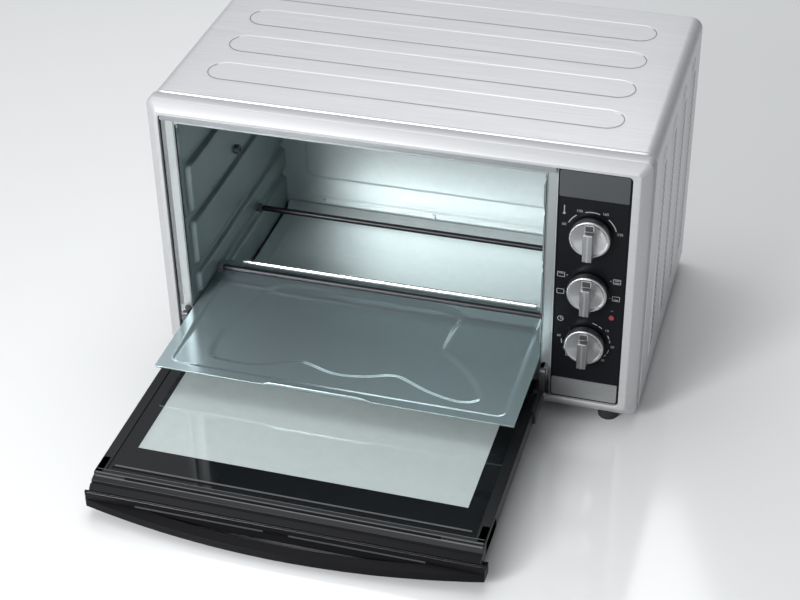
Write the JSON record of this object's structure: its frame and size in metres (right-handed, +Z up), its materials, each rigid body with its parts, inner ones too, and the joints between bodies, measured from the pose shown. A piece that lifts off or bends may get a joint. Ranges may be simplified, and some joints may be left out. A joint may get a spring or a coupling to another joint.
{
  "type": "toaster oven",
  "caption": "Counter-top toaster oven with a drop-down glass door, a drawn-out crumb tray, heater rods and a column of control knobs.",
  "frame": {"origin": "on the ground plane under the feet, at the centre of the footprint measured with the door lying open and the tray drawn out", "axes": "+Z up, the front with door and controls faces -Y, +X towards the controls, which is the right-hand side seen from the front"},
  "size_m": [0.5832, 0.69, 0.3566],
  "materials": {
    "bezel": "satin silver",
    "bracket": "zinc plated",
    "ceramic": "matt ceramic",
    "cover": "satin silver",
    "door": "semi gloss black",
    "fascia": "gloss black",
    "flange": "satin",
    "foot": "matt black",
    "gland": "matt black",
    "glass": "clear",
    "handle": "semi gloss black",
    "heater": "matt, heat darkened",
    "hinge": "dark plated",
    "knob": "satin silver",
    "lamp": "matt",
    "lens": "translucent red",
    "liner": "galvanised sheet, satin",
    "motor": "zinc plated",
    "pan": "satin",
    "partition": "satin",
    "pin": "plated",
    "screw": "plated",
    "shaft": "satin",
    "switchgear": "matt",
    "tray": "galvanised sheet, satin",
    "trim": "brushed"
  },
  "bodies": {
    "oven": {"base_pan": "pan", "outer_cover": "cover", "rear_panel": "pan", "front_bezel": "bezel", "cavity_front": "flange", "cavity_left": "liner", "cavity_right": "liner", "cavity_back": "liner", "cavity_floor": "liner", "cavity_top": "liner", "partition": "partition", "control_panel": "fascia", "panel_trim": "trim", "control_bracket": "bracket", "thermostat": "switchgear", "function_switch": "switchgear", "timer": "bracket", "indicator_lens": "lens", "indicator_lamp": "lamp", "lower_heaters": "heater", "upper_heaters": "heater", "heater_bushes": "ceramic", "spit_bracket": "motor", "spit_motor": "motor", "hinge_bracket_left": "hinge", "hinge_bracket_right": "hinge", "hinge_pins": "pin", "foot_front_left": "foot", "foot_front_right": "foot", "foot_rear_left": "foot", "foot_rear_right": "foot", "foot_screws": "screw", "cover_screws": "screw", "terminal_block": "ceramic", "cord_gland": "gland"},
    "door": {"door_frame": "door", "door_glass": "glass", "glass_clips": "hinge", "glass_screws": "screw", "door_handle": "handle", "handle_screws": "screw", "hinge_arm_left": "hinge", "hinge_arm_right": "hinge"},
    "tray": {"crumb_tray": "tray"},
    "temperature_dial": {"temperature_knob": "knob", "temperature_shaft": "shaft"},
    "function_dial": {"function_knob": "knob", "function_shaft": "shaft"},
    "timer_dial": {"timer_knob": "knob", "timer_shaft": "shaft"},
    "spit_drive": {"spit_coupling": "motor"}
  },
  "joints": [
    {"name": "door_hinge", "type": "hinge", "parent": "oven", "child": "door", "pos_m": [-0.0405, -0.031, 0.0355], "axis": [-1, 0, 0], "range_deg": [0, 90]},
    {"name": "tray_slide", "type": "slide", "parent": "oven", "child": "tray", "axis": [0, 1, 0], "range_m": [0, 0.214]},
    {"name": "temperature_turn", "type": "hinge", "parent": "oven", "child": "temperature_dial", "pos_m": [0.2273, -0.025, 0.259], "axis": [0, 1, 0], "range_deg": [0, 270]},
    {"name": "function_turn", "type": "hinge", "parent": "oven", "child": "function_dial", "pos_m": [0.2273, -0.025, 0.186], "axis": [0, 1, 0], "range_deg": [-110, 110]},
    {"name": "timer_turn", "type": "hinge", "parent": "oven", "child": "timer_dial", "pos_m": [0.2273, -0.025, 0.113], "axis": [0, 1, 0], "range_deg": [0, 300]},
    {"name": "spit_turn", "type": "hinge", "parent": "oven", "child": "spit_drive", "pos_m": [0.176, 0.133, 0.208], "axis": [1, 0, 0], "continuous": true}
  ],
  "couplings": [
    {"joint": "tray_slide", "follows": "door_hinge", "m_per_rad": 0.1362}
  ]
}
